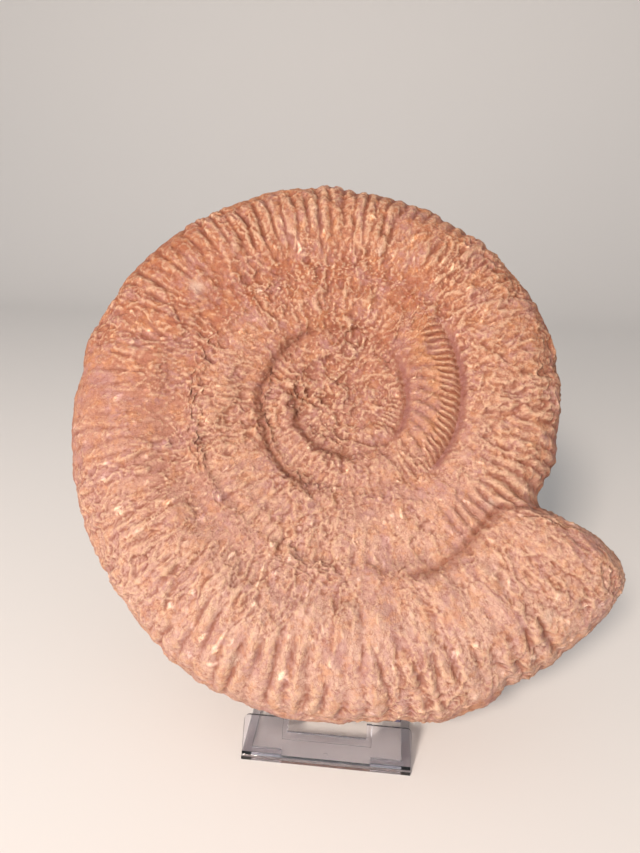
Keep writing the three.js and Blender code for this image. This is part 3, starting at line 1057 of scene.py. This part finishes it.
def make_stone():
    material, tree = new_material("iron_stained_limestone")
    note = {name: add(tree, "ShaderNodeAttribute", {}, attribute_name=name).outputs["Fac"] for name in NOTES}
    place = add(tree, "ShaderNodeTexCoord", {}).outputs["Object"]
    grain = add(tree, "ShaderNodeAttribute", {}, attribute_name="grain").outputs["Vector"]
    tone = stained_and_shaded_tone(tree, note, place, mottled_ground(tree, place, grain))
    tone = with_hairline_shadows(tree, grain, tone_with_dust_and_painted_light(tree, note, place, grain, tone))
    bent = bent_places(tree, grain)
    chip = add(tree, "ShaderNodeSeparateColor", {"Color": chips(tree, bent, "F1")["Color"]}).outputs["Red"]
    tone = with_chips(tree, bent, chip, tone)
    worm = cloud(tree, grain, 4.6, 5.0, 0.7, "RIDGED_MULTIFRACTAL")
    # painted shade: the low lines between the worm-like ridges are darkened, as the bump throws no shadow
    cracks = ramp(tree, worm, [(0.25, "#ffffff"), (0.45, "#000000")])
    tone = mixed(tree, cracks, tone, colour("#7a3d26"), factor_scale=0.5)
    relief = bumped(tree, worm, 1.1, 0.9, bumped(tree, chip, 0.5, 0.7))
    relief = bumped(tree, cloud(tree, place, 2.2, 4.0, 0.75), 1.0, 1.0, relief)
    dull = add(tree, "ShaderNodeMapRange", {"Value": cloud(tree, place, 9), "To Min": 0.48, "To Max": 0.72})
    surface = add(tree, "ShaderNodeBsdfPrincipled", {
        "Base Color": tone, "Roughness": dull.outputs["Result"], "Normal": relief, "IOR": 1.5,
    }).outputs["BSDF"]
    add(tree, "ShaderNodeOutputMaterial", {"Surface": surface})
    return material


ammonite.data.materials.clear()
ammonite.data.materials.append(make_stone())
print("stone finish:", ammonite.data.materials[0].name)

# %% [markdown]
# ## The clear stand
#
# The stand is one injection moulding: a base plate with a window, a front lip with a notch
# and a back rest with two webs. Its shape is already exact in the fixed model, but there
# every edge is razor sharp. A moulded edge has a small radius, and on clear plastic that
# radius is what catches the light, so a copy is cleaned up and its edges are bevelled.

# %% Round the stand's edges
EDGE_RADIUS = 0.45 * MM


def moulded_copy(node):
    bm = bmesh.new()
    bm.from_mesh(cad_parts[node].data)
    bmesh.ops.remove_doubles(bm, verts=bm.verts, dist=0.01 * MM)
    bmesh.ops.dissolve_limit(bm, angle_limit=math.radians(1), verts=bm.verts, edges=bm.edges)
    sharp = [e for e in bm.edges if e.is_manifold and e.calc_face_angle() > math.radians(25)]
    bmesh.ops.bevel(bm, geom=sharp, offset=EDGE_RADIUS, segments=2, profile=0.5,
                    affect="EDGES", clamp_overlap=True, material=-1)
    bmesh.ops.recalc_face_normals(bm, faces=bm.faces)
    return object_from(bm, "clear_stand")


stand = moulded_copy("display_stand")
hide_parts("display_stand")
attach(stand, "root")
print("stand:", len(stand.data.polygons), "faces")

# %% [markdown]
# ## Clear polystyrene
#
# Clear holders like this are moulded from polystyrene: see-through, a little grey-violet
# where it is thick, with fine handling marks that soften its reflections.

# %% Make the clear plastic


def make_clear_plastic():
    material, tree = new_material("clear_polystyrene")
    place = add(tree, "ShaderNodeTexCoord", {}).outputs["Object"]
    marks = add(tree, "ShaderNodeTexNoise", {"Vector": place, "Scale": grains_of(6), "Detail": 6.0})
    dull = add(tree, "ShaderNodeMapRange", {
        "Value": marks.outputs["Fac"], "To Min": 0.02, "To Max": 0.1,
    }).outputs["Result"]
    surface = add(tree, "ShaderNodeBsdfPrincipled", {
        "Base Color": colour("#fbfafd"), "Roughness": dull, "IOR": 1.59, "Transmission Weight": 1.0,
    }).outputs["BSDF"]
    tint = add(tree, "ShaderNodeVolumeAbsorption", {"Color": colour("#b6abcb"), "Density": 24.0})
    add(tree, "ShaderNodeOutputMaterial", {"Surface": surface, "Volume": tint.outputs["Volume"]})
    return material


stand.data.materials.clear()
stand.data.materials.append(make_clear_plastic())
print("stand finish:", stand.data.materials[0].name)

# %% [markdown]
# ## Floor and light
#
# The setting is a plain studio: a pale floor that bends up into a wall, and soft light. The
# key light comes from the upper left and the front, as a window would give it, so the ribs
# throw short shadows. A wide weak light, low on the left, fills them. It stands far enough to
# the side that the stand's clear lip doesn't mirror it.

# %% Build the setting
FLOOR_GAP = 0.2 * MM
LIT_PLACE = Vector((0, 0, 150)) * MM


def make_floor():
    bm = bmesh.new()
    bmesh.ops.create_grid(bm, x_segments=1, y_segments=1, size=3)
    bmesh.ops.translate(bm, vec=(0, -1.6, -FLOOR_GAP), verts=bm.verts)
    back = [e for e in bm.edges if all(v.co.y > 0 for v in e.verts)]
    bent = bmesh.ops.spin(bm, geom=back, angle=math.pi / 2, steps=16, axis=(1, 0, 0), cent=(0, 1.4, 0.8))
    top = [item for item in bent["geom_last"] if isinstance(item, bmesh.types.BMEdge)]
    wall = bmesh.ops.extrude_edge_only(bm, edges=top)["geom"]
    bmesh.ops.translate(bm, vec=(0, 0, 1.5), verts=[v for v in wall if isinstance(v, bmesh.types.BMVert)])
    floor = object_from(bm, "floor")
    floor.data.shade_smooth()
    material, tree = new_material("pale_paper")
    surface = add(tree, "ShaderNodeBsdfPrincipled", {
        "Base Color": colour("#e2e0dd"), "Roughness": 0.8,
    }).outputs["BSDF"]
    add(tree, "ShaderNodeOutputMaterial", {"Surface": surface})
    floor.data.materials.append(material)


def soft_light(name, place, size, watts, tint):
    """A square lamp that looks at the middle of the fossil."""
    data = bpy.data.lights.new(name, "AREA")
    data.size = size
    data.energy = watts
    data.color = colour(tint)[:3]
    lamp = bpy.data.objects.new(name, data)
    lamp.location = place
    lamp.rotation_euler = (LIT_PLACE - lamp.location).to_track_quat("-Z", "Y").to_euler()
    bpy.context.scene.collection.objects.link(lamp)


make_floor()
soft_light("key", Vector((-0.55, -1.65, 1.3)), 0.35, 46, "#ffefe2")
soft_light("window", Vector((-0.75, -1.6, 0.42)), 0.8, 17, "#fbf5f6")
world = bpy.data.worlds.new("studio")
world.use_nodes = True
world.node_tree.nodes["Background"].inputs["Color"].default_value = colour("#e8e8ea")
world.node_tree.nodes["Background"].inputs["Strength"].default_value = 0.5
bpy.context.scene.world = world
bpy.context.scene.view_settings.view_transform = "Standard"
